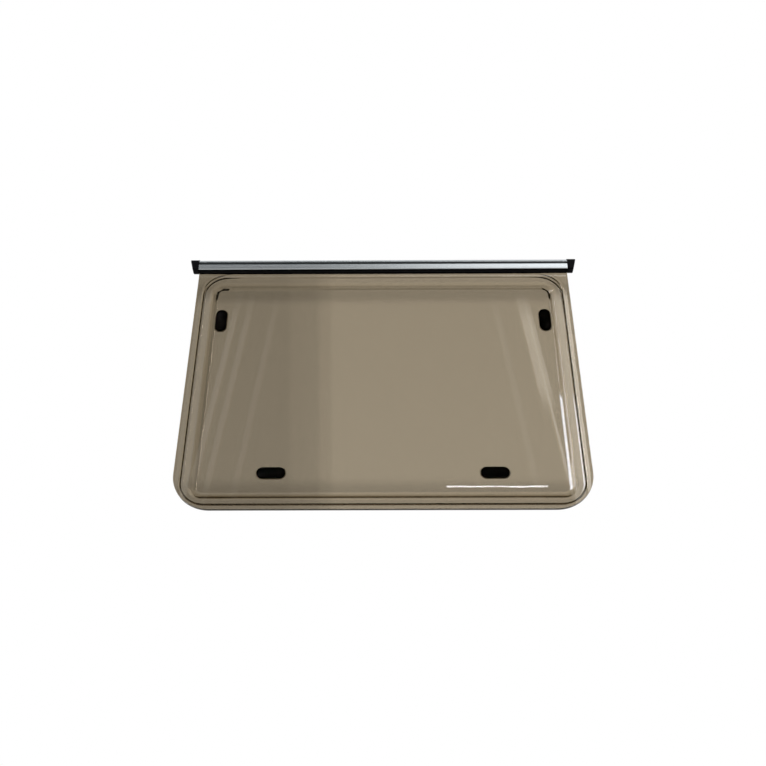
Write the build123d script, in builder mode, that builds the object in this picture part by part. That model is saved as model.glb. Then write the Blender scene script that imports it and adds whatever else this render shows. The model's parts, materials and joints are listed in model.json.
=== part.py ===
"""Top-hung caravan window: a twin-skin acrylic sash that hangs from an aluminium hinge rail.

Frame: X runs along the rail, +Y points into the vehicle, +Z is up, all in millimetres.
The plane y = 0 is the outside of the vehicle's wall, where the back of the rail is screwed.
The origin is the middle of that back face, on the line of the rail's screws.
"Standoff" is a distance out of the wall, so a face at standoff s lies at y = -s.
"""

import os
from math import cos, radians, sin, tan

from build123d import *

# Sash skins
pane_width = 900.0
pane_height = 654.5
pane_corner_radius = 85.0
outer_thickness = 4.0
inner_thickness = 3.0
edge_bevel = 1.0
wall_seal_gap = 5.0

# Formed inner skin: a steep wall, a shelf, then a slanted step up to the plateau
flange_width = 13.5
wall_depth = 11.0
wall_draft = 8.0
wall_corner_radius = 58.0
shelf_margin = 32.5
shelf_corner_radius = 30.0
plateau_rise = 8.0
plateau_margin = 44.0
plateau_corner_radius = 17.0
form_radius = 4.5

# Hinge rail, screwed to the wall
rail_length = pane_width
rail_depth = 27.0
rail_hood_radius = 12.0
rail_wall = 1.6
rail_back_wall = 2.5
strip_mouth = 7.0
screw_end_margin = 37.0
screw_count = 8
screw_radius = 2.2

# Hinge socket on the rail and the round bead of the sash inside it
axis_drop = 13.2
socket_radius = 3.8
socket_wall = 1.6
socket_lip_angle = 238.0
socket_heel_angle = 12.0
bead_clearance = 0.3

# Sash profile that grips the top edge of the pane
sash_wall = 1.5
sash_top_gap = 1.2
sash_end_gap = 0.5
sash_back_grip = 9.4
front_leg_length = 9.4
neck_thickness = 2.0
seal_drop = 2.4
seal_reach = 4.8
seal_nose = 1.2
seal_round = 0.9

# Cover strip over the screws
strip_recess = 0.8
strip_crown = 0.5
strip_face = 2.2
strip_leg = 1.4
strip_leg_depth = 6.0

# End caps
cap_overhang = 1.0
cap_length_top = 23.0
cap_length_bottom = 14.0
cap_bottom_drop = 20.0
cap_back_drop = 12.0
cap_plug_length = 10.0
cap_plug_clearance = 0.2
cap_edge_bevel = 1.6
cap_chin_radius = 4.0

# Fixing blocks for the catches and stays, on bonding pads in the cavity
block_length = 62.0
block_width = 26.0
block_thickness = 4.4
block_bevel = 0.8
pad_rim = 2.0
pad_thickness = 0.8
catch_offset = 243.0
catch_height = 97.0
stay_inset = 0.7
stay_drop = 142.5
fixing_spacing = 32.0
fixing_radius = 1.6
fixing_depth = 3.6

# Heights and standoffs that follow from the sizes above
strip_half = strip_mouth / 2
web_bottom = -strip_half - rail_wall
rail_top = strip_half + rail_hood_radius
socket_outer = socket_radius + socket_wall
axis_y = socket_outer - rail_depth
axis_z = -axis_drop
bead_radius = socket_radius - bead_clearance

flange_back = wall_seal_gap
skin_joint = flange_back + inner_thickness
pane_front = skin_joint + outer_thickness
shelf_back = skin_joint - wall_depth - inner_thickness
plateau_back = shelf_back - plateau_rise
plateau_face = plateau_back + inner_thickness

sash_top = web_bottom - sash_top_gap
pane_top = sash_top - sash_wall
pane_bottom = pane_top - pane_height
pane_middle = (pane_top + pane_bottom) / 2
front_leg_bottom = sash_top - front_leg_length
sash_length = rail_length - 2 * sash_end_gap

wall_lean = wall_depth * tan(radians(wall_draft))
screw_pitch = (rail_length - 2 * screw_end_margin) / (screw_count - 1)

os.makedirs("parts", exist_ok=True)


def finish(builder, name):
    """Labels a piece and writes it as its own STEP file."""
    builder.part.label = name
    export_step(builder.part, f"parts/{name}.step")


def pane_outline():
    """Adds the pane's outline to a sketch: square at the rail, with two large lower corners."""
    with Locations((0, pane_middle)):
        corners = Rectangle(pane_width, pane_height).vertices().sort_by(Axis.Y)[:2]
    fillet(corners, pane_corner_radius)


def well_outline(margin, corner_radius):
    """Adds a rounded rectangle to a sketch, at one margin inside the pane's four edges."""
    with Locations((0, pane_middle)):
        RectangleRounded(pane_width - 2 * margin, pane_height - 2 * margin, corner_radius)


def well_steps(inset):
    """The formed well as a solid with two lofted steps, with every surface moved inwards by inset."""
    with BuildPart() as steps:
        with BuildSketch(Plane.XZ.offset(skin_joint)):
            well_outline(flange_width + inset, wall_corner_radius - inset)
        with BuildSketch(Plane.XZ.offset(shelf_back + inset)):
            well_outline(flange_width + wall_lean + inset, wall_corner_radius - wall_lean - inset)
        loft()
        with BuildSketch(Plane.XZ.offset(shelf_back + inset)):
            well_outline(shelf_margin + inset, shelf_corner_radius - inset)
        with BuildSketch(Plane.XZ.offset(plateau_back + inset)):
            well_outline(plateau_margin + inset, plateau_corner_radius - inset)
        loft()
    return steps.part


def shelf_of(well):
    """The flat shelf of a formed well: the second of its three levels."""
    return well.faces().filter_by(Axis.Y).sort_by(Axis.Y)[1]


# Outer pane: a flat sheet with a bevelled front edge
with BuildPart() as outer_pane:
    with BuildSketch(Plane.XZ.offset(skin_joint)):
        pane_outline()
    extrude(amount=outer_thickness)
    chamfer(outer_pane.faces().sort_by(Axis.Y)[0].edges(), edge_bevel)
finish(outer_pane, "outer_pane")

# Fixing blocks: centre, and the direction of the long side in degrees from X
stay_margin = plateau_margin + inner_thickness + stay_inset + pad_rim + block_width / 2
stay_offset = pane_width / 2 - stay_margin
fixings = {
    "catch_block_left": (-catch_offset, pane_bottom + catch_height, 0),
    "catch_block_right": (catch_offset, pane_bottom + catch_height, 0),
    "stay_block_left": (-stay_offset, pane_top - stay_drop, 90),
    "stay_block_right": (stay_offset, pane_top - stay_drop, 90),
}

# Room side of the inner skin's well, with each bend of the sheet rounded
with BuildPart() as formed_well:
    add(well_steps(0))
    fillet(shelf_of(formed_well).inner_wires()[0].edges(), form_radius)
    fillet(shelf_of(formed_well).outer_wire().edges(), form_radius)
    fillet(formed_well.faces().sort_by(Axis.Y)[-1].edges(), form_radius)

# Inner skin: a flange bonded to the outer pane, round the well; its cavity side keeps crisp bends
with BuildPart() as inner_pane:
    with BuildSketch(Plane.XZ.offset(flange_back)):
        pane_outline()
    extrude(amount=inner_thickness)
    add(formed_well.part)
    add(well_steps(inner_thickness), mode=Mode.SUBTRACT)
    for centre_x, centre_z, turn in fixings.values():
        with BuildSketch(Plane.XZ.offset(plateau_back)):
            with Locations(Location((centre_x, centre_z, 0), turn)):
                with GridLocations(fixing_spacing, 0, 2, 1):
                    Circle(fixing_radius)
        extrude(amount=inner_thickness, mode=Mode.SUBTRACT)
finish(inner_pane, "inner_pane")

# Each block sits on a bonding pad that is a little larger, against the back of the plateau
for name, (centre_x, centre_z, turn) in fixings.items():
    place = Location((centre_x, centre_z, 0), turn)
    with BuildPart() as pad:
        with BuildSketch(Plane.XZ.offset(plateau_face)):
            with Locations(place):
                SlotOverall(block_length + 2 * pad_rim, block_width + 2 * pad_rim)
                with GridLocations(fixing_spacing, 0, 2, 1):
                    Circle(fixing_radius, mode=Mode.SUBTRACT)
        extrude(amount=pad_thickness)
    finish(pad, name.replace("block", "bond_pad"))

    block_base = Plane.XZ.offset(plateau_face + pad_thickness)
    with BuildPart() as block:
        with BuildSketch(block_base):
            with Locations(place):
                SlotOverall(block_length, block_width)
        extrude(amount=block_thickness)
        chamfer(block.faces().sort_by(Axis.Y)[0].edges(), block_bevel)
        with BuildSketch(block_base):
            with Locations(place):
                with GridLocations(fixing_spacing, 0, 2, 1):
                    Circle(fixing_radius)
        extrude(amount=fixing_depth, mode=Mode.SUBTRACT)
    finish(block, name)

# Hinge rail: rounded hood with a closed chamber, screw channel, front skirt and hinge socket
hood_y = rail_hood_radius - rail_depth
chamber_radius = rail_hood_radius - rail_wall
chamber_floor = strip_half + rail_wall
mouth_reach = 2 * socket_outer
chamber_front = hood_y - (chamber_radius**2 - rail_wall**2) ** 0.5
skirt_back = rail_wall - rail_depth

with BuildPart() as hinge_rail:
    with BuildSketch(Plane.YZ):
        with BuildLine():
            Polyline((-rail_depth, strip_half), (-rail_depth, axis_z), (skirt_back, axis_z))
            Polyline((skirt_back, axis_z), (skirt_back, web_bottom), (0, web_bottom))
            Polyline((0, web_bottom), (0, rail_top), (hood_y, rail_top))
            RadiusArc((hood_y, rail_top), (-rail_depth, strip_half), -rail_hood_radius)
        make_face()
        with BuildLine():
            Polyline((chamber_front, chamber_floor), (-rail_back_wall, chamber_floor))
            Polyline((-rail_back_wall, chamber_floor), (-rail_back_wall, rail_top - rail_wall))
            Line((-rail_back_wall, rail_top - rail_wall), (hood_y, rail_top - rail_wall))
            RadiusArc((hood_y, rail_top - rail_wall), (chamber_front, chamber_floor), -chamber_radius)
        make_face(mode=Mode.SUBTRACT)
        with Locations((-rail_back_wall, 0)):
            Rectangle(rail_depth, strip_mouth, align=(Align.MAX, Align.CENTER), mode=Mode.SUBTRACT)
        with Locations((axis_y, axis_z)):
            Circle(socket_outer)
            Circle(socket_radius, mode=Mode.SUBTRACT)
        with BuildLine():
            heel = PolarLine((axis_y, axis_z), mouth_reach, socket_heel_angle)
            lip = PolarLine((axis_y, axis_z), mouth_reach, socket_lip_angle)
            Polyline(heel @ 1, (axis_y + mouth_reach, axis_z - mouth_reach), lip @ 1)
        make_face(mode=Mode.SUBTRACT)
    extrude(amount=rail_length / 2, both=True)
    with BuildSketch(Plane.XZ):
        with GridLocations(screw_pitch, 0, screw_count, 1):
            Circle(screw_radius)
    extrude(amount=rail_back_wall, mode=Mode.SUBTRACT)
finish(hinge_rail, "hinge_rail")

# Cover strip: a crowned face with two legs that grip the mouth of the screw channel
strip_front = -rail_depth + strip_recess
strip_back = strip_front + strip_face
strip_end = strip_back + strip_leg_depth
leg_inside = strip_half - strip_leg

with BuildPart() as rail_cover_strip:
    with BuildSketch(Plane.YZ):
        with BuildLine():
            ThreePointArc(
                (strip_front, -strip_half), (strip_front - strip_crown, 0), (strip_front, strip_half)
            )
            Polyline((strip_front, strip_half), (strip_end, strip_half), (strip_end, leg_inside))
            Polyline((strip_end, leg_inside), (strip_back, leg_inside), (strip_back, -leg_inside))
            Polyline((strip_back, -leg_inside), (strip_end, -leg_inside), (strip_end, -strip_half))
            Line((strip_end, -strip_half), (strip_front, -strip_half))
        make_face()
    extrude(amount=rail_length / 2, both=True)
finish(rail_cover_strip, "rail_cover_strip")

# Sash profile: a channel bonded over the pane's top edge, with a neck and bead in the hinge socket
leg_front = -pane_front - sash_wall
leg_rear = -flange_back + sash_wall
grip_bottom = pane_top - sash_back_grip
neck_root = front_leg_bottom + neck_thickness / 2
neck_half = neck_thickness / 2

with BuildPart() as sash_profile:
    with BuildSketch(Plane.YZ):
        with BuildLine():
            Polyline((leg_front, front_leg_bottom), (leg_front, sash_top), (leg_rear, sash_top))
            Polyline((leg_rear, sash_top), (leg_rear, grip_bottom), (-flange_back, grip_bottom))
            Polyline((-flange_back, grip_bottom), (-flange_back, pane_top), (-pane_front, pane_top))
            Polyline((-pane_front, pane_top), (-pane_front, front_leg_bottom))
            Line((-pane_front, front_leg_bottom), (leg_front, front_leg_bottom))
        make_face()
        with BuildLine():
            Polyline(
                (axis_y, axis_z + neck_half),
                (leg_front, neck_root + neck_half),
                (leg_front, neck_root - neck_half),
                (axis_y, axis_z - neck_half),
                close=True,
            )
        make_face()
        with Locations((axis_y, axis_z)):
            Circle(bead_radius)
    extrude(amount=sash_length / 2, both=True)
finish(sash_profile, "sash_profile")

# Hinge seal: a soft strip in the corner below the neck, against the face of the pane
seal_bottom = front_leg_bottom - seal_drop
seal_front = -pane_front - seal_reach
neck_slope = (axis_z - neck_root) / (leg_front - axis_y)
seal_shoulder = front_leg_bottom + neck_slope * (leg_front - seal_front)

with BuildPart() as hinge_seal:
    with BuildSketch(Plane.YZ) as seal_section:
        with BuildLine():
            Polyline(
                (-pane_front, front_leg_bottom),
                (leg_front, front_leg_bottom),
                (seal_front, seal_shoulder),
                (seal_front, seal_shoulder - seal_nose),
                (leg_front, seal_bottom),
                (-pane_front, seal_bottom),
                close=True,
            )
        make_face()
        nose_corners = seal_section.vertices().sort_by(Axis.X)[:2].sort_by(Axis.Y)[:1]
        lower_corners = seal_section.vertices().sort_by(Axis.Y)[:2].sort_by(Axis.X)[:1]
        fillet(nose_corners + lower_corners, seal_round)
    extrude(amount=sash_length / 2, both=True)
finish(hinge_seal, "hinge_seal")

# End caps: they close the rail's ends, keep the sash from sliding out and taper towards the pane
cap_front = -rail_depth - cap_overhang
cap_top = rail_top + cap_overhang
cap_bottom = -cap_bottom_drop
rail_end = rail_length / 2
cap_slant = (cap_top - cap_bottom, 0, cap_length_bottom - cap_length_top)
cap_end = Plane(origin=(rail_end + cap_length_bottom, 0, cap_bottom), z_dir=cap_slant)

with BuildPart() as end_cap_right:
    with BuildSketch(Plane.YZ.offset(rail_end)) as cap_section:
        with BuildLine():
            Polyline((hood_y, cap_top), (0, cap_top), (0, -cap_back_drop), (-pane_front, cap_bottom))
            Polyline((-pane_front, cap_bottom), (cap_front, cap_bottom), (cap_front, strip_half))
            RadiusArc((cap_front, strip_half), (hood_y, cap_top), rail_hood_radius + cap_overhang)
        make_face()
        chin = cap_section.vertices().sort_by(Axis.Y)[:2].sort_by(Axis.X)[0]
        fillet(chin, cap_chin_radius)
    extrude(amount=cap_length_top)
    split(bisect_by=cap_end, keep=Keep.BOTTOM)
    chamfer(end_cap_right.faces().sort_by(Axis.X)[-1].edges(), cap_edge_bevel)
    with BuildSketch(Plane.YZ.offset(rail_end)):
        with Locations((-rail_back_wall - cap_plug_clearance, chamber_floor + cap_plug_clearance)):
            Rectangle(
                -hood_y - rail_back_wall - cap_plug_clearance,
                rail_top - rail_wall - chamber_floor - 2 * cap_plug_clearance,
                align=(Align.MAX, Align.MIN),
            )
    extrude(amount=-cap_plug_length)
finish(end_cap_right, "end_cap_right")

with BuildPart() as end_cap_left:
    mirror(end_cap_right.part, about=Plane.YZ)
finish(end_cap_left, "end_cap_left")
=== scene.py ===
# %% [markdown]
# # A top-hung caravan window
# The window is two sheets of bronze-tinted acrylic that hang from an aluminium hinge rail.
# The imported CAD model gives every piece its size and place, in metres: X runs along the rail,
# +Y points into the vehicle, +Z is up, and y = 0 is the outside of the wall. The cells below dress
# that frame. They make the two acrylic skins and the end caps again as smooth surfaces,
# because a clear sheet shows each facet, and they give the other pieces their finishes.

# %% Load the frame
import json
from math import cos, pi, radians, sin

import bpy
import numpy as np
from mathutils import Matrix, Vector
from mathutils.geometry import tessellate_polygon


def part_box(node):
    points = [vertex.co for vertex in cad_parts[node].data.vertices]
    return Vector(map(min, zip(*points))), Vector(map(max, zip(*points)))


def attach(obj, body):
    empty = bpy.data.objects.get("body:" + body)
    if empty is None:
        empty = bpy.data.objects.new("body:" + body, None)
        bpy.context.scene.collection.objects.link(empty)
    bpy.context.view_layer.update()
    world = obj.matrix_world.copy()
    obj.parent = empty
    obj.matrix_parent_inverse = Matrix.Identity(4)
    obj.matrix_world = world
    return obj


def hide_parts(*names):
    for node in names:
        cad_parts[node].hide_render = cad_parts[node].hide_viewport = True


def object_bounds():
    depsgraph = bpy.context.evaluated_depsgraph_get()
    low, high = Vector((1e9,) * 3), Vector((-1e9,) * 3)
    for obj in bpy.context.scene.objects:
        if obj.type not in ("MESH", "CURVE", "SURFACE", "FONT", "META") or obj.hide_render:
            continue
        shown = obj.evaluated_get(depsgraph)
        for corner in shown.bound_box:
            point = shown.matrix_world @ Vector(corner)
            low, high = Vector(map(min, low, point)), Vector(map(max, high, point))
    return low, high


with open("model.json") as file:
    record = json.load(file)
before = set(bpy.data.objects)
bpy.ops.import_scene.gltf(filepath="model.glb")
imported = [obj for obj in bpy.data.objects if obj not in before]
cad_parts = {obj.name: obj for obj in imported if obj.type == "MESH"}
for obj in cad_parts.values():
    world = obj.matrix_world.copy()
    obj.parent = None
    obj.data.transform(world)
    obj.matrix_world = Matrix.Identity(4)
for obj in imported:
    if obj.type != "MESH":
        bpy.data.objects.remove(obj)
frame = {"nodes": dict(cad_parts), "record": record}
cad_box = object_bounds()
MM = 0.001
cad_corners = [tuple(round(c, 4) for c in corner) for corner in cad_box]
print("nodes:", len(frame["nodes"]), "CAD box:", cad_corners)

# %% [markdown]
# ## Camera
# The sides of the pane run together towards the top of the picture, so it was seen from below:
# the line of sight rises by 34 degrees towards the middle of the pane, from a hair to the
# right of it. A camera can be turned by hand with angles, but aiming its -Z axis along that line of
# sight is shorter and easy to check.

# %% Camera
pane_low, pane_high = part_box("outer_pane")
pane_middle_z = (pane_low.z + pane_high.z) / 2
sight_rise = radians(34)
sight_turn = radians(0.3)
sight_length = 2.313
aim_below_middle = 9.3 * MM
film_width_mm = 36
lens_length_mm = 47.9

level_sight = Vector((-sin(sight_turn), cos(sight_turn), 0))
sight = cos(sight_rise) * level_sight + Vector((0, 0, sin(sight_rise)))
aim = Vector((0, pane_low.y, pane_middle_z - aim_below_middle))
camera = bpy.data.objects.new("camera", bpy.data.cameras.new("camera"))
camera.data.sensor_width = film_width_mm
camera.data.lens = lens_length_mm
camera.location = aim - sight_length * sight
camera.rotation_euler = sight.to_track_quat("-Z", "Y").to_euler()
bpy.context.scene.collection.objects.link(camera)
bpy.context.scene.camera = camera
print("camera at", tuple(round(c, 3) for c in camera.location))

# %% [markdown]
# ## Helpers for surfaces
# Each new piece is a stack of closed rings: a profile gives one ring for each of its points, and
# neighbouring rings are joined by quads. The first and last rings are closed by flat faces.
# Bends in a profile are arcs, and each arc has a ring just before and after it, so that the flat
# stretches keep straight normals and reflect like flat sheet.

# %% Bends and bent paths
def arc_corner(before, corner, after, radius, steps):
    """Points of a bend: the arc of this radius that touches both legs of a corner.
    The arc starts radius * tan(turn / 2) before the corner, and its centre lies on the bisector."""
    leg_in = (corner - before) / np.linalg.norm(corner - before)
    leg_out = (after - corner) / np.linalg.norm(after - corner)
    cross = leg_in[0] * leg_out[1] - leg_in[1] * leg_out[0]
    turn = np.arctan2(cross, leg_in @ leg_out)
    reach = radius * np.tan(abs(turn) / 2)
    side = np.sign(turn) * np.array([-leg_in[1], leg_in[0]])
    centre = corner - reach * leg_in + radius * side
    sweep = np.linspace(0, turn, steps + 1)[:, None]
    spoke = -radius * side
    turned = np.array([-spoke[1], spoke[0]])
    return centre + np.cos(sweep) * spoke + np.sin(sweep) * turned


def bent_path(corners, radii, steps=10, guard=0.4 * MM):
    """An open path with rounded bends, and one guard point on the straight at each side of a bend."""
    corners = np.array(corners, float)
    runs = [corners[:1]]
    for index, radius in enumerate(radii, start=1):
        before, corner, after = corners[index - 1 : index + 2]
        bend = arc_corner(before, corner, after, radius, steps)
        lead_in = bend[0] + guard * (before - corner) / np.linalg.norm(before - corner)
        lead_out = bend[-1] + guard * (after - corner) / np.linalg.norm(after - corner)
        runs += [lead_in[None], bend, lead_out[None]]
    runs.append(corners[-1:])
    return np.concatenate(runs)


square_bend = arc_corner(np.array([0, 2]), np.array([0, 0]), np.array([2, 0]), radius=1, steps=10)
bend_length = np.linalg.norm(np.diff(square_bend, axis=0), axis=1).sum()
print("a square bend of radius 1 is", round(bend_length, 3), "long, a quarter circle", round(pi / 2, 3))

# %% Rings and pieces
sharp_angle = radians(40)


def ring_faces(rows, columns):
    """Quads between neighbouring rings, each ring closed on itself, as corner numbers of the grid."""
    row, column = np.mgrid[0 : rows - 1, 0:columns]
    beside = (column + 1) % columns
    corners = [row * columns + column, (row + 1) * columns + column]
    corners += [(row + 1) * columns + beside, row * columns + beside]
    return np.stack(corners, axis=-1).reshape(-1, 4)


def make_piece(name, points, faces, replaced):
    """A mesh object from points and faces, smooth across soft bends, that stands for a CAD node."""
    mesh = bpy.data.meshes.new(name)
    mesh.from_pydata(points, [], faces)
    mesh.polygons.foreach_set("use_smooth", np.ones(len(mesh.polygons), bool))
    mesh.set_sharp_from_angle(angle=sharp_angle)
    mesh.validate()
    piece = bpy.data.objects.new(name, mesh)
    bpy.context.scene.collection.objects.link(piece)
    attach(piece, "root")
    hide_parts(replaced)
    print(name, len(points), "points,", len(faces), "faces")
    return piece


print("two rings of four points are joined by", len(ring_faces(2, 4)), "quads")

# %% [markdown]
# ## The two acrylic skins
# The outer pane is a flat cast sheet, and the inner skin is the same kind of sheet, formed by heat.
# A box with bevels could not follow the bends of the inner one, so each skin is a profile from the
# middle of its front, out round its edge and back to the middle, and each point of the profile
# becomes a rounded rectangle. Both skins share these rings, so their edges lie exactly over one another.

# %% Rings of a pane
half_width = (pane_high.x - pane_low.x) / 2
half_height = (pane_high.z - pane_low.z) / 2
corner_steps = 24
quarter_starts = np.radians([-90, 0, 90, 180])
quarter_sides = np.array([(1, -1), (1, 1), (-1, 1), (-1, -1)])


def pane_rings(profile, lower_radius, upper_radius):
    """Rounded rectangles from a profile of (margin, y): u runs round the pane, v along the profile.
    Corner centre = half size - margin - radius, and the arc is centre + radius * (cos u, sin u)."""
    margin, depth = profile.T
    radius = np.stack([lower_radius, upper_radius, upper_radius, lower_radius])
    angle = quarter_starts[:, None] + np.linspace(0, pi / 2, corner_steps + 1)
    reach = np.array([half_width, half_height]) - margin[:, None]
    centre = quarter_sides[:, None, :] * (reach[None] - radius[:, :, None])
    spokes = np.stack([np.cos(angle), np.sin(angle)], axis=-1)
    flat = centre[:, :, None, :] + radius[:, :, None, None] * spokes[:, None]
    flat = flat.transpose(1, 0, 2, 3).reshape(len(margin), -1, 2)
    rings = np.empty(flat.shape[:2] + (3,))
    rings[..., 0] = flat[..., 0]
    rings[..., 1] = depth[:, None]
    rings[..., 2] = flat[..., 1] + pane_middle_z
    return rings


print("pane:", round(2 * half_width / MM, 1), "by", round(2 * half_height / MM, 1), "mm")

# %% [markdown]
# ### Outer pane
# The outer pane is cut from flat sheet, square under the rail and with two large lower corners, and
# its front edge is softened. A flat shape with a Solidify modifier would give the sheet, but not
# an edge that is rounder in front than behind, so the edge is part of the profile.

# %% Outer pane
middle_margin = 59.0 * MM
edge_round = 0.9 * MM
edge_steps = 6
square_corner = 1.2 * MM
pane_corner = 85.0 * MM
smallest_corner = 6.0 * MM

front_y, back_y = pane_low.y, pane_high.y
sheet_corners = [(middle_margin, front_y), (0, front_y), (0, back_y), (middle_margin, back_y)]
sheet_profile = bent_path(sheet_corners, [edge_round, edge_round / 3], edge_steps)
sheet_lower = np.maximum(pane_corner - sheet_profile[:, 0], smallest_corner)
sheet_upper = np.full(len(sheet_profile), square_corner)
sheet_rings = pane_rings(sheet_profile, sheet_lower, sheet_upper)

rows, columns = sheet_rings.shape[:2]
sheet_faces = ring_faces(rows, columns).tolist()
sheet_faces.append(range(columns))
sheet_faces.append(range(rows * columns - 1, (rows - 1) * columns - 1, -1))
outer_pane = make_piece(
    "cast_outer_pane", sheet_rings.reshape(-1, 3), sheet_faces, "outer_pane"
)

# %% [markdown]
# ### Inner skin
# The inner skin is drawn over a mould while it is hot: a flange that is bonded to the outer pane, a
# steep wall, a shelf and a slanted step up to a plateau. Its two sides are parallel, so a bend that is
# tight on one side is wider by the thickness of the sheet on the other. A corner gets tighter with the
# distance from the edge, which is a straight-line fit between a few known corners.

# %% Profile of the inner skin
skin_low, skin_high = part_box("inner_pane")
bond_gap = 0.05 * MM
skin_thickness = 3.0 * MM
flange_width = 13.5 * MM
wall_lean = 1.55 * MM
shelf_y = 6.0 * MM
plateau_y = skin_high.y
shelf_margin = 32.5 * MM
plateau_margin = 44.0 * MM
mouth_bend = 7.0 * MM
foot_bend = 3.0 * MM
shelf_bend = 15.0 * MM
plateau_bend = 10.0 * MM
rim_round = 0.3 * MM
flange_front = skin_low.y + bond_gap
flange_back = skin_low.y + skin_thickness
wall_foot = flange_width + wall_lean

cavity_side = [
    (middle_margin, plateau_y - skin_thickness),
    (plateau_margin + skin_thickness, plateau_y - skin_thickness),
    (shelf_margin + skin_thickness, shelf_y - skin_thickness),
    (wall_foot + skin_thickness, shelf_y - skin_thickness),
    (flange_width + skin_thickness, flange_front),
    (0, flange_front),
]
room_side = [
    (0, flange_back),
    (flange_width, flange_back),
    (wall_foot, shelf_y),
    (shelf_margin, shelf_y),
    (plateau_margin, plateau_y),
    (middle_margin, plateau_y),
]
cavity_bends = np.array([plateau_bend, shelf_bend, foot_bend, mouth_bend])
room_bends = cavity_bends[::-1] + skin_thickness * np.array([-1, 1, -1, 1])
skin_bends = [*cavity_bends, rim_round, rim_round, *room_bends]
skin_profile = bent_path(cavity_side + room_side, skin_bends)
print("profile of the inner skin:", len(skin_profile), "points,", len(skin_bends), "bends")

# %% Rings of the inner skin
wall_corner = 58.0 * MM
wall_foot_corner = wall_corner - wall_lean - skin_thickness
shelf_corner = 30.0 * MM
plateau_corner = 17.0 * MM

known_margins = [0, flange_width, wall_foot + skin_thickness, shelf_margin, plateau_margin, middle_margin]
inner_corners = [wall_corner, wall_foot_corner, shelf_corner, plateau_corner, smallest_corner]
skin_lower = np.interp(skin_profile[:, 0], known_margins, [pane_corner, *inner_corners])
skin_upper = np.interp(skin_profile[:, 0], known_margins, [square_corner, *inner_corners])
skin_rings = pane_rings(skin_profile, skin_lower, skin_upper)
print("inner skin:", skin_rings.shape[0], "rings of", skin_rings.shape[1], "points")

# %% [markdown]
# ### Screw holes
# The catches and stays are screwed through the inner skin into the blocks behind it, so its plateau has
# eight small holes. A Boolean would cut them, but it can leave thin slivers that glitter in a clear
# sheet. Here the plateau is filled round the holes from the start, on both sides, and a short wall joins
# the two rims of each hole. Their places and sizes come from the frame's record.

# %% Hole rims and flat fills
def hole_rings(centres, radius, steps=20):
    """Circles round the given (x, z) centres: centre + radius * (cos u, sin u)."""
    angle = np.linspace(0, 2 * pi, steps, endpoint=False)
    circle = radius * np.stack([np.cos(angle), np.sin(angle)], axis=-1)
    return centres[:, None, :] + circle[None]


def fill_flat(loops, facing):
    """Triangles that fill the first loop of (x, z) points and leave the other loops open.
    The sign of (leg x arm) tells which way a triangle faces, and those that face wrong are turned."""
    triangles = np.array(tessellate_polygon([loop.tolist() for loop in loops]))
    flat = np.concatenate(loops)
    first, second, third = flat[triangles].transpose(1, 0, 2)
    leg, arm = second - first, third - first
    backwards = (leg[:, 0] * arm[:, 1] - leg[:, 1] * arm[:, 0]) * facing < 0
    triangles[backwards] = triangles[backwards][:, ::-1]
    return triangles


fixings = [m for m in frame["record"]["mounts"] if m["name"].startswith(("catch", "stay"))]
fixing_radius = fixings[0]["dims"]["hole_r_mm"] * MM
fixing_centres = np.array([(m["pos_m"][0], m["pos_m"][2]) for m in fixings])
spacings = [(m["dims"].get("spacing_x_mm", 0), m["dims"].get("spacing_y_mm", 0)) for m in fixings]
half_steps = np.array(spacings) * MM / 2
hole_centres = np.concatenate([fixing_centres - half_steps, fixing_centres + half_steps])
holes = hole_rings(hole_centres, fixing_radius)
print(len(holes), "screw holes of radius", round(fixing_radius / MM, 2), "mm")

# %% Inner skin with its holes
rows, columns = skin_rings.shape[:2]
hole_count, hole_steps = holes.shape[:2]
first_hole = rows * columns
depth_step = hole_count * hole_steps
cavity_holes = np.insert(holes, 1, plateau_y - skin_thickness, axis=2).reshape(-1, 3)
room_holes = np.insert(holes, 1, plateau_y, axis=2).reshape(-1, 3)
skin_points = np.concatenate([skin_rings.reshape(-1, 3), cavity_holes, room_holes])

hole_numbers = first_hole + np.arange(depth_step)
last_ring = np.arange(first_hole - columns, first_hole)
cavity_numbers = np.concatenate([np.arange(columns), hole_numbers])
room_numbers = np.concatenate([last_ring, hole_numbers + depth_step])
cavity_fill = cavity_numbers[fill_flat([skin_rings[0][:, ::2], *holes], 1)]
room_fill = room_numbers[fill_flat([skin_rings[-1][:, ::2], *holes], -1)]

rim = hole_numbers.reshape(hole_count, hole_steps)
next_round = np.roll(rim, -1, axis=1)
hole_walls = np.stack([rim, next_round, next_round + depth_step, rim + depth_step], axis=-1)
skin_faces = ring_faces(rows, columns).tolist() + hole_walls.reshape(-1, 4).tolist()
skin_faces += cavity_fill.tolist() + room_fill.tolist()
inner_skin = make_piece("formed_inner_skin", skin_points, skin_faces, "inner_pane")

# %% [markdown]
# ## End caps
# The caps are black injection mouldings that plug the rail's ends. Each is a rounded section with
# a slanted end and soft edges. A bevel would do for the edges, but not for five corners with a radius
# each, so the section is a polygon with one radius per corner. The same polygon, moved inwards along a
# quarter circle, makes the round at the end of the cap.

# %% Section of the caps
cap_low, cap_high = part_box("end_cap_right")
heel_z = -12.0 * MM
smallest_radius = 0.3 * MM

cap_corners = np.array(
    [
        (cap_low.y, cap_high.z),
        (cap_low.y, cap_low.z),
        (pane_low.y, cap_low.z),
        (cap_high.y, heel_z),
        (cap_high.y, cap_high.z),
    ]
)
cap_radii = np.array([13.0, 4.5, 3.0, 2.0, 1.2]) * MM


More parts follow.
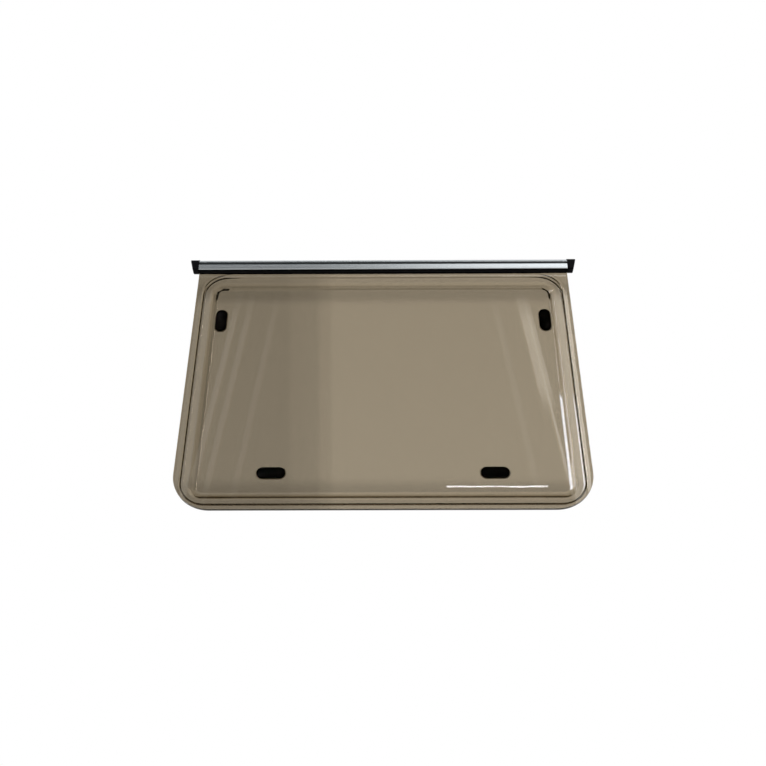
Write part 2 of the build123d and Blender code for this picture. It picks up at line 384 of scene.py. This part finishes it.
def inset_outline(corners, radii, inset, steps=10):
    """A rounded polygon moved inwards: each corner slides to where its two moved sides meet."""
    leg_in = corners - np.roll(corners, 1, axis=0)
    leg_out = np.roll(corners, -1, axis=0) - corners
    leg_in /= np.linalg.norm(leg_in, axis=1)[:, None]
    leg_out /= np.linalg.norm(leg_out, axis=1)[:, None]
    sine = leg_in[:, 0] * leg_out[:, 1] - leg_in[:, 1] * leg_out[:, 0]
    moved = corners + inset * (leg_out - leg_in) / sine[:, None]
    kept = np.maximum(radii - inset, smallest_radius)
    before, after = np.roll(moved, 1, axis=0), np.roll(moved, -1, axis=0)
    return np.concatenate([arc_corner(*legs, steps) for legs in zip(before, moved, after, kept)])


print("cap section:", len(inset_outline(cap_corners, cap_radii, inset=0)), "points")

# %% End caps
rail_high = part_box("hinge_rail")[1]
cap_round = 2.4 * MM
cap_round_rings = 9
cap_seam = 0.4 * MM
# The end is slanted, so its round takes this much off the length at the top
round_loss = 0.4 * MM
length_top = cap_high.x - rail_high.x + round_loss
length_bottom = 14.0 * MM


def cap_rings(side):
    """Rings from the rail's end outwards; the end is a slanted plane, x = end + slope * z."""
    quarter = np.linspace(0, pi / 2, cap_round_rings)
    seam = np.array([(cap_seam, 0.0), (0.0, cap_seam)])
    rounds = np.stack([cap_round * (1 - np.cos(quarter)), cap_round * (np.sin(quarter) - 1)], axis=-1)
    rings = []
    for inset, along in seam:
        outline = inset_outline(cap_corners, cap_radii, inset)
        rings.append(np.insert(outline, 0, rail_high.x + along, axis=1))
    for inset, along in rounds:
        outline = inset_outline(cap_corners, cap_radii, inset)
        share = (outline[:, 1] - cap_low.z) / (cap_high.z - cap_low.z)
        end = rail_high.x + length_bottom + share * (length_top - length_bottom)
        rings.append(np.insert(outline, 0, end + along, axis=1))
    rings = np.stack(rings)
    rings[..., 0] *= side
    return rings


caps = {}
for name, side in (("end_cap_right", 1), ("end_cap_left", -1)):
    rings = cap_rings(side)
    rows, columns = rings.shape[:2]
    rail_end = np.arange(columns)
    outer_end = np.arange(rows * columns - 1, (rows - 1) * columns - 1, -1)
    # A mirrored cap has its faces turned round, by a step of -1
    faces = ring_faces(rows, columns)[:, ::side].tolist()
    faces += [rail_end[::side].tolist(), outer_end[::side].tolist()]
    caps[name] = make_piece("moulded_" + name, rings.reshape(-1, 3), faces, name)

# %% [markdown]
# ## Soft edges on the extrusions and blocks
# The rail, its cover strip, the sash profile, the seal, the blocks and the pads keep their CAD shape.
# Real edges are never knife-sharp: a die or a mould leaves a small round that catches the light.
# The edges could be rounded in CAD, at the cost of thousands of facets. Modifiers do it here instead:
# a short node group joins the loose triangles and shades them smooth, a bevel rounds each edge, and
# weighted normals keep the large faces flat, so that the rounds don't bend their reflections.

# %% Soft edges
weld_distance = 0.001 * MM
round_segments = 2
round_angle = radians(35)


def node(tree, kind, inputs=None, **settings):
    """Adds one node: settings are its properties, and inputs gives a socket a value or a link."""
    made = tree.nodes.new(kind)
    for name, value in settings.items():
        setattr(made, name, value)
    for name, value in (inputs or {}).items():
        if isinstance(value, bpy.types.NodeSocket):
            tree.links.new(value, made.inputs[name])
        else:
            made.inputs[name].default_value = value
    return made


joined = bpy.data.node_groups.new("joined_and_smooth", "GeometryNodeTree")
for direction in ("INPUT", "OUTPUT"):
    joined.interface.new_socket("Geometry", in_out=direction, socket_type="NodeSocketGeometry")
loose = node(joined, "NodeGroupInput").outputs["Geometry"]
welded = node(joined, "GeometryNodeMergeByDistance", {"Geometry": loose, "Distance": weld_distance})
smooth = node(joined, "GeometryNodeSetShadeSmooth", {"Geometry": welded.outputs["Geometry"]})
node(joined, "NodeGroupOutput", {"Geometry": smooth.outputs["Geometry"]})

edge_rounds = {"hinge_rail": 0.3, "rail_cover_strip": 0.3, "sash_profile": 0.3, "hinge_seal": 0.25}
edge_rounds |= {name: 0.3 for name in frame["nodes"] if "_block_" in name}
edge_rounds |= {name: 0.15 for name in frame["nodes"] if "_bond_pad_" in name}
for name, width_mm in edge_rounds.items():
    piece = frame["nodes"][name]
    piece.modifiers.new("joined", "NODES").node_group = joined
    bevel = piece.modifiers.new("soft_edges", "BEVEL")
    bevel.width = width_mm * MM
    bevel.segments = round_segments
    bevel.limit_method = "ANGLE"
    bevel.angle_limit = round_angle
    flat_faces = piece.modifiers.new("flat_faces", "WEIGHTED_NORMAL")
    flat_faces.keep_sharp = True
print("soft edges on", len(edge_rounds), "CAD pieces")

# %% [markdown]
# ## Finishes
# Colours are written as sRGB hex values, as they look on a screen, and one function turns them into
# the linear numbers that the shaders use. Pattern sizes are in millimetres, and the coordinates are
# in metres. Each solid finish could have its own tree of nodes, but they differ only in their pattern
# and numbers, so one function makes the shader: a pattern drives its tone and gloss, and a relief its
# normal.

# %% Colours and materials
def linear(hex_colour):
    """An sRGB hex colour as linear RGBA: c / 12.92 below 0.04045, else ((c + 0.055) / 1.055) ** 2.4."""
    channels = np.array([int(hex_colour[i : i + 2], 16) for i in (1, 3, 5)]) / 255
    low, high = channels / 12.92, ((channels + 0.055) / 1.055) ** 2.4
    return (*np.where(channels <= 0.04045, low, high).tolist(), 1.0)


def per_mm(size_mm):
    """A pattern scale whose features are about this many millimetres, on coordinates in metres."""
    return 1 / (size_mm * MM)


def new_material(name):
    """An empty material, its node tree, and the Object coordinates that its patterns use."""
    material = bpy.data.materials.new(name)
    material.use_nodes = True
    tree = material.node_tree
    tree.nodes.clear()
    return material, tree, node(tree, "ShaderNodeTexCoord").outputs["Object"]


print("middle grey #808080 is", round(linear("#808080")[0], 3), "in linear light")

# %% Shader of a solid finish
# A noise pattern lies mostly between these two values
noise_low, noise_high = 0.3, 0.7


def solid_finish(tree, pattern, relief, colours, roughness, sockets):
    """Spreads a pattern over two colours and over two roughnesses, and bends the normal by a relief."""
    dark, light = colours
    smoothest, roughest = roughness
    spread = {"Value": pattern, "From Min": noise_low, "From Max": noise_high}
    tone = node(tree, "ShaderNodeMapRange", spread)
    gloss = node(tree, "ShaderNodeMapRange", spread | {"To Min": smoothest, "To Max": roughest})
    shades = {"Factor": tone.outputs["Result"], "A": linear(dark), "B": linear(light)}
    shades = node(tree, "ShaderNodeMix", shades, data_type="RGBA")
    inputs = {
        "Base Color": shades.outputs["Result"],
        "Roughness": gloss.outputs["Result"],
        "Normal": node(tree, "ShaderNodeBump", relief).outputs["Normal"],
    }
    body = node(tree, "ShaderNodeBsdfPrincipled", inputs | sockets)
    node(tree, "ShaderNodeOutputMaterial", {"Surface": body.outputs[0]})


print("a pattern of 2 mm has a scale of", per_mm(2))

# %% [markdown]
# ### Bronze-tinted acrylic
# Both skins are cast acrylic, dyed right through, so the tint comes from the depth of the sheet and
# not from its surface. A tinted surface would be simpler, but then an edge would look no darker than
# a face. Clear faces with an IOR of 1.49 round a volume that absorbs give the dark edges and bends of
# the real sheet. Cast and formed sheet is never quite flat, which shows as a slow wobble about 70 mm
# long in its reflections.

# %% Bronze-tinted acrylic
wobble_mm = 70
wobble_height = 0.4 * MM
dye_colour = "#AF9C6B"
dye_density = 240.0

acrylic, tree, place = new_material("bronze_cast_acrylic")
wobble = node(tree, "ShaderNodeTexNoise", {"Vector": place, "Scale": per_mm(wobble_mm), "Detail": 1.0})
waves = {"Height": wobble.outputs["Fac"], "Strength": 0.06, "Distance": wobble_height}
waves = node(tree, "ShaderNodeBump", waves)
clear_face = {
    "Base Color": (1, 1, 1, 1),
    "Roughness": 0.0,
    "IOR": 1.49,
    "Transmission Weight": 1.0,
    "Normal": waves.outputs["Normal"],
}
clear_face = node(tree, "ShaderNodeBsdfPrincipled", clear_face)
dye = node(tree, "ShaderNodeVolumeAbsorption", {"Color": linear(dye_colour), "Density": dye_density})
dyed_sheet = {"Surface": clear_face.outputs[0], "Volume": dye.outputs[0]}
node(tree, "ShaderNodeOutputMaterial", dyed_sheet)
outer_pane.data.materials.append(acrylic)
inner_skin.data.materials.append(acrylic)
print("acrylic on", outer_pane.name, "and", inner_skin.name)

# %% [markdown]
# ### Extruded finishes
# The rail and the sash profile are aluminium pressed through a die, etched to a satin and anodised,
# one clear and one black. The cover strip is grey PVC made in the same way. A die leaves fine lines
# along the whole length, so one stretched noise drives the tone, the gloss and a slight relief. The
# lines are about 0.7 mm apart, coarser than real ones, which would not show.

# %% Extruded finishes
line_width_mm, line_length_mm = 0.7, 260.0
line_strength = 0.5


def extruded(name, colours, roughness, relief_mm, **sockets):
    """A finish from a die: noise drawn out along X, whose grid is divided by the line length in X and
    by the line width across, drives its tone, its roughness and its relief."""
    material, tree, place = new_material(name)
    stretch = (per_mm(line_length_mm), per_mm(line_width_mm), per_mm(line_width_mm))
    along = node(tree, "ShaderNodeMapping", {"Vector": place, "Scale": stretch}).outputs[0]
    lines = node(tree, "ShaderNodeTexNoise", {"Vector": along, "Scale": 1.0, "Detail": 3.0}).outputs["Fac"]
    relief = {"Height": lines, "Strength": line_strength, "Distance": relief_mm * MM}
    solid_finish(tree, lines, relief, colours, roughness, sockets)
    return material


dull_pvc = {"IOR": 1.53, "Specular IOR Level": 0.2}
finishes = {
    "anodised_aluminium": extruded(
        "satin_anodised_aluminium", ("#BCC2C5", "#CCD2D5"), (0.22, 0.29), relief_mm=0.005, Metallic=1.0
    ),
    "black_anodised_aluminium": extruded(
        "black_anodised_aluminium", ("#0F0F11", "#161618"), (0.34, 0.44), relief_mm=0.02, Metallic=1.0
    ),
    "grey_pvc": extruded(
        "grey_extruded_pvc", ("#1A1E20", "#222729"), (0.38, 0.5), relief_mm=0.03, **dull_pvc
    ),
}
print("extruded finishes:", *finishes)

# %% [markdown]
# ### Moulded and soft finishes
# The caps and blocks are black ABS from a spark-eroded mould, which leaves a fine even grain. The
# seal is EPDM, dull and faintly chalky with age. The bonding pads are pale acrylic foam with open
# pores. These surfaces have no direction, so each has a fine noise for its grain and a slower one for
# its tone and gloss. The grains are drawn coarser than real ones, which would not show.

# %% Moulded and soft finishes
grain_strength = 0.6
# A patch of even tone is this many grains wide
grains_in_patch = 14


def grained(name, colours, roughness, grain_mm, relief_mm, ior, sheen=0.1):
    """A finish with an even grain: fine noise for the relief, and slow noise for tone and gloss."""
    material, tree, place = new_material(name)
    grain = {"Vector": place, "Scale": per_mm(grain_mm), "Detail": 2.0}
    grain = node(tree, "ShaderNodeTexNoise", grain)
    patches = {"Vector": place, "Scale": per_mm(grains_in_patch * grain_mm), "Detail": 3.0}
    patches = node(tree, "ShaderNodeTexNoise", patches)
    relief = {"Height": grain.outputs["Fac"], "Strength": grain_strength, "Distance": relief_mm * MM}
    sockets = {"IOR": ior, "Specular IOR Level": sheen}
    solid_finish(tree, patches.outputs["Fac"], relief, colours, roughness, sockets)
    return material


dull_abs = {"ior": 1.53, "sheen": 0.04}
finishes["black_abs"] = grained(
    "black_moulded_abs", ("#09090B", "#0F0F11"), (0.42, 0.52), grain_mm=0.7, relief_mm=0.05, **dull_abs
)
finishes["black_rubber"] = grained(
    "epdm_rubber", ("#0C0C0D", "#161617"), (0.66, 0.8), grain_mm=0.9, relief_mm=0.08, ior=1.5
)
finishes["bonding_pad"] = grained(
    "pale_acrylic_foam", ("#CFC5B3", "#DED6C7"), (0.75, 0.9), grain_mm=0.8, relief_mm=0.15, ior=1.45
)

slot_of = {part["node"]: part["material_slot"] for part in frame["record"]["subparts"]}
for name, piece in frame["nodes"].items():
    if slot_of[name] in finishes:
        piece.data.materials.clear()
        piece.data.materials.append(finishes[slot_of[name]])
for piece in caps.values():
    piece.data.materials.append(finishes["black_abs"])
print("all finishes:", *finishes)

# %% [markdown]
# ## Studio
# Clear sheet has little look of its own: it shows what stands behind it and mirrors what stands in
# front of it. In a white room it would look like brown paper, so this studio is set up as for glass,
# with a white sky, two lamps and plain cards. The sky is white to the camera and in reflections, and
# dimmer as a light. Seen through the sheet, it carries painted shade: it falls off to the left in soft
# steps, and it has two soft bands of painted shade, low and high. A step's place is a share of the way
# from the left end of the fall-off to its right end, and a band's place is the slope of the line of sight,
# rise over run.

# %% Sky
sky_light = 0.5
fall_off_left, fall_off_right = -0.12, -0.04
# Tones of the sky through the sheet are painted shade: darker steps to the left, and two darker bands
sky_shade_steps = {0.269: 0.69, 0.343: 0.75, 0.625: 0.78, 0.7: 0.88, 0.784: 0.9, 0.845: 1.0}
sky_shade_bands = {0.5: 1.0, 0.531: 0.74, 0.55: 1.0, 0.79: 1.0, 0.806: 0.76, 0.822: 0.76, 0.828: 0.92}

world = bpy.data.worlds.new("white_studio")
bpy.context.scene.world = world
world.use_nodes = True
tree = world.node_tree
tree.nodes.clear()
ray = node(tree, "ShaderNodeLightPath").outputs
mirrored = {0: ray["Is Camera Ray"], 1: ray["Is Glossy Ray"]}
mirrored = node(tree, "ShaderNodeMath", mirrored, operation="MAXIMUM")
seen = {"Value": mirrored.outputs[0], "To Min": sky_light, "To Max": 1.0}
seen = node(tree, "ShaderNodeMapRange", seen)
way = node(tree, "ShaderNodeSeparateXYZ", {0: node(tree, "ShaderNodeTexCoord").outputs["Generated"]})
across = {"Value": way.outputs["X"], "From Min": fall_off_left, "From Max": fall_off_right}
across = node(tree, "ShaderNodeMapRange", across)
steps = node(tree, "ShaderNodeValToRGB", {"Fac": across.outputs["Result"]})
slope = node(tree, "ShaderNodeMath", {0: way.outputs["Z"], 1: way.outputs["Y"]}, operation="DIVIDE")
bands = node(tree, "ShaderNodeValToRGB", {"Fac": slope.outputs[0]})
for ramp, tones in ((steps.color_ramp, sky_shade_steps), (bands.color_ramp, sky_shade_bands)):
    ramp.interpolation = "EASE"
    first_tone = list(tones.values())[0]
    ramp.elements[0].color = (first_tone, first_tone, first_tone, 1)
    for spot, tone in tones.items():
        ramp.elements.new(spot).color = (tone, tone, tone, 1)
# The painted shade, steps times bands, is seen only by rays that come through the sheet
through = {0: steps.outputs["Color"], 1: bands.outputs["Color"]}
through = node(tree, "ShaderNodeMath", through, operation="MULTIPLY")
level = {"Factor": ray["Is Transmission Ray"], "A": seen.outputs["Result"], "B": through.outputs[0]}
level = node(tree, "ShaderNodeMix", level)
sky = node(tree, "ShaderNodeBackground", {"Strength": level.outputs["Result"], "Color": (1, 1, 1, 1)})
node(tree, "ShaderNodeOutputWorld", {"Surface": sky.outputs[0]})
print("sky with", len(sky_shade_steps), "steps and", len(sky_shade_bands), "places in its bands")

# %% [markdown]
# ### Floor
# A pale floor far below the window sends soft light up to the rail and the blocks. The view from below
# does not show it, and the sky alone could do, but the window is also looked at from behind and above.

# %% Floor
floor_z, floor_reach = -2.2, 6.0


def stage_sheet(name, corners):
    """A flat four-cornered stage piece."""
    mesh = bpy.data.meshes.new(name)
    mesh.from_pydata(corners, [], [range(len(corners))])
    made = bpy.data.objects.new(name, mesh)
    bpy.context.scene.collection.objects.link(made)
    return made


floor_corners = floor_reach * np.array([(-1, -1), (1, -1), (1, 1), (-1, 1)])
floor = stage_sheet("floor", np.insert(floor_corners, 2, floor_z, axis=1).tolist())
floor_finish = grained(
    "pale_floor", ("#EFEEEB", "#F4F3F0"), (0.75, 0.85), grain_mm=30.0, relief_mm=0.1, ior=1.45
)
floor.data.materials.append(floor_finish)
print("floor at", floor_z)

# %% [markdown]
# ### Lamps
# One soft lamp at the upper left lights the solid pieces. It is kept out of reflections, where its
# outline would show. A narrow strip light is there for its reflection alone: the bright line low on
# the pane.

# %% Lamps
def add_lamp(name, place, target, width, height, watts):
    """A soft rectangular lamp that faces a target."""
    lamp = bpy.data.lights.new(name, "AREA")
    lamp.shape = "RECTANGLE"
    lamp.size, lamp.size_y = width, height
    lamp.energy = watts
    made = bpy.data.objects.new(name, lamp)
    made.location = place
    made.rotation_euler = (target - made.location).to_track_quat("-Z", "Y").to_euler()
    made.visible_camera = made.visible_transmission = False
    bpy.context.scene.collection.objects.link(made)
    return made


softbox_place = Vector((-1.75, -2.2, 1.25))
softbox = add_lamp("softbox", softbox_place, aim, width=1.1, height=0.7, watts=55)
softbox.visible_glossy = False
strip_place = Vector((0.6, -2.95, 0.964))
strip_target = aim + Vector((strip_place.x, 0, 0))
strip_light = add_lamp("strip_light", strip_place, strip_target, width=0.54, height=0.008, watts=0.24)
print("lamps:", softbox.name, strip_light.name)

# %% [markdown]
# ### Cards in front
# Upright cards stand in front of the window, to be mirrored by it. The flat panes mirror the black one,
# without which a grey haze would lie over the whole window. The rail mirrors the ones above and below
# it, and its tone rises to the right because theirs does. The rail is satin and gathers light from the
# black card's place too, so that card glows for satin metal and is black in a sharp mirror. Lamps could
# do this, but each lamp would light the black pieces as well, and a card is only mirrored.

# %% Cards in front
white = "#FFFFFF"
card_y = -3.0
card_reach = 2.6
rise_left, rise_right = -0.55, 1.15


def upright(left, right, low, high, y, lean=0.0):
    """Corners of an upright sheet that faces along Y, with its top moved by lean in X."""
    return [(left, y, low), (right, y, low), (right + lean, y, high), (left + lean, y, high)]


def add_card(name, corners, left_glow, right_glow, colour=white, satin_only=False, fade=0.0):
    """A card that glows, from one strength at its left to another at its right. It is there for
    mirrored rays and shadows, and clear to a straight look through the panes from the other side.
    A satin-only card stays black in a sharp mirror, such as a pane, and glows on satin metal.
    Fade is the length over which the glow dies away at the lower and the upper end."""
    material, tree, place = new_material(name)
    ray = node(tree, "ShaderNodeLightPath").outputs
    spot = node(tree, "ShaderNodeSeparateXYZ", {0: place}).outputs
    rise = {"Value": spot["X"], "From Min": rise_left, "From Max": rise_right}
    rise |= {"To Min": left_glow, "To Max": right_glow}
    glow = node(tree, "ShaderNodeMapRange", rise, interpolation_type="SMOOTHSTEP").outputs["Result"]
    if fade:
        low, high = corners[0][2], corners[-1][2]
        for end, inwards in ((low, low + fade), (high, high - fade)):
            soft = {"Value": spot["Z"], "From Min": end, "From Max": inwards}
            soft = node(tree, "ShaderNodeMapRange", soft, interpolation_type="SMOOTHSTEP")
            dimmed = {0: glow, 1: soft.outputs["Result"]}
            glow = node(tree, "ShaderNodeMath", dimmed, operation="MULTIPLY").outputs[0]
    if satin_only:
        satin = {0: 1.0, 1: ray["Is Singular Ray"]}
        satin = node(tree, "ShaderNodeMath", satin, operation="SUBTRACT")
        dimmed = {0: glow, 1: satin.outputs[0]}
        glow = node(tree, "ShaderNodeMath", dimmed, operation="MULTIPLY").outputs[0]
    there = {0: ray["Glossy Depth"], 1: ray["Is Shadow Ray"]}
    there = node(tree, "ShaderNodeMath", there, operation="MAXIMUM", use_clamp=True)
    clear = node(tree, "ShaderNodeBsdfTransparent", {"Color": (1, 1, 1, 1)})
    light = node(tree, "ShaderNodeEmission", {"Strength": glow, "Color": linear(colour)})
    mixed = {0: there.outputs[0], 1: clear.outputs[0], 2: light.outputs[0]}
    mixed = node(tree, "ShaderNodeMixShader", mixed)
    node(tree, "ShaderNodeOutputMaterial", {"Surface": mixed.outputs[0]})
    card = stage_sheet(name, corners)
    card.visible_camera = card.visible_diffuse = False
    card.data.materials.append(material)
    return card


# Lower edge, upper edge, glow at the left and glow at the right
front_cards = {
    "low_card": (-1.5, 0.72, 0.36, 1.8),
    "black_card": (0.72, 2.472, 0.26, 1.5),
    "bright_card": (2.472, 3.0, 0.65, 2.8),
    "dim_card": (3.0, 6.5, 0.08, 0.4),
}
for name, (low, high, left_glow, right_glow) in front_cards.items():
    corners = upright(-card_reach, card_reach, low, high, card_y)
    add_card(name, corners, left_glow, right_glow, satin_only=name == "black_card")
print("cards in front:", *front_cards)

# %% [markdown]
# ### Streaks, side bands and daylight
# Thin cards just in front of the black one are what the panes mirror at their sides. Slanted strips
# with soft ends draw the faint streaks, and one wider strip draws the broad streak on the right. Narrow
# upright bands lighten the flange and the shelf of the inner skin, with a gap between them where the
# wall stays dark. A cool daylight card at the left is hidden from first reflections. Only light that
# was mirrored by the inner skin and came out again through the outer pane shows it, as thin lines on
# the bends. Streaks could be painted on the panes, but then they would not move with the view.

# %% Streaks, side bands and daylight
streak_y, streak_low, streak_high = -2.98, 0.8, 2.38
streak_slope, streak_fade = 0.12, 0.35
# Middle of the lower end, width and glow
streaks = {
    "left_inner_streak": (-0.84, 0.035, 0.3),
    "left_middle_streak": (-0.995, 0.035, 0.45),
    "left_outer_streak": (-1.075, 0.035, 0.6),
    "right_inner_streak": (0.84, 0.035, 0.3),
    "right_middle_streak": (1.022, 0.014, 2.2),
}
for name, (start, width, glow) in streaks.items():
    lean = -np.sign(start) * streak_slope * (streak_high - streak_low)
    left, right = start - width / 2, start + width / 2
    corners = upright(left, right, streak_low, streak_high, streak_y, lean)
    add_card(name, corners, glow, glow, fade=streak_fade)

band_y, band_fade = -2.99, 0.1
wide_glow, wide_fade = 1.6, 0.3
wide_streak = upright(left=0.909, right=0.985, low=1.4, high=2.36, y=band_y, lean=-0.12)
add_card("right_wide_streak", wide_streak, wide_glow, wide_glow, fade=wide_fade)

# Left side, right side and glow
side_bands = {
    "left_flange_band": (-1.152, -1.131, 0.5),
    "left_shelf_band": (-1.113, -1.07, 0.8),
    "right_shelf_band": (1.02, 1.079, 1.8),
    "right_flange_band": (1.092, 1.116, 3.8),
}
for name, (left, right, glow) in side_bands.items():
    corners = upright(left, right, streak_low, streak_high, band_y)
    add_card(name, corners, glow, glow, fade=band_fade)

daylight_tint, daylight_glow = "#C9D8FF", 100.0
daylight = upright(left=-5.0, right=-1.25, low=0.9, high=2.6, y=-2.9)
daylight_card = add_card("daylight_card", daylight, daylight_glow, daylight_glow, daylight_tint)
daylight_card.visible_glossy = daylight_card.visible_shadow = False
print(len(streaks) + 1, "streaks,", len(side_bands), "side bands and", daylight_card.name)

# %% [markdown]
# ### Flags behind
# The flags stand behind the window, just outside what shows through the flat sheet. They are seen only
# through its bends, which turn the line of sight outwards, and they draw the lines along the formed
# steps. Lines could be drawn into the acrylic's colour, but on real sheet they come from what stands
# behind it, and they move with the view.

# %% Flags behind
flag_y = 3.0


def add_flag(name, corners, glow, colour):
    """A flag of one even tone, for rays that have come through a pane and nothing else."""
    material, tree, _ = new_material(name)
    light = node(tree, "ShaderNodeEmission", {"Strength": glow, "Color": linear(colour)})
    node(tree, "ShaderNodeOutputMaterial", {"Surface": light.outputs[0]})
    flag = stage_sheet(name, corners)
    flag.visible_camera = flag.visible_diffuse = flag.visible_glossy = flag.visible_shadow = False
    flag.data.materials.append(material)


# Left side, right side, lower edge, upper edge, glow and colour
flags = {
    "left_flag": (-2.1, -1.22, 0.8, 2.4, 0.5, white),
    "right_flag": (1.25, 2.1, 0.8, 1.65, 4.6, daylight_tint),
    "top_flag": (-1.0, 1.0, 2.6, 3.4, 0.6, white),
    "left_corner_flag": (-2.1, -1.22, 2.4, 2.57, 0.02, white),
    "right_corner_flag": (1.22, 2.1, 2.4, 2.57, 0.02, white),
    "upper_left_flag": (-2.1, -1.0, 2.57, 3.4, 0.02, white),
    "upper_right_flag": (1.0, 2.1, 2.57, 3.4, 0.02, white),
}
for name, (left, right, low, high, glow, colour) in flags.items():
    add_flag(name, upright(left, right, low, high, flag_y), glow, colour)
print("flags:", *flags)

# %% [markdown]
# ## Finish
# The Standard view transform shows colours as they were written, where a filmic one would grey the
# white sky.

# %% Finish
bpy.context.scene.view_settings.view_transform = "Standard"
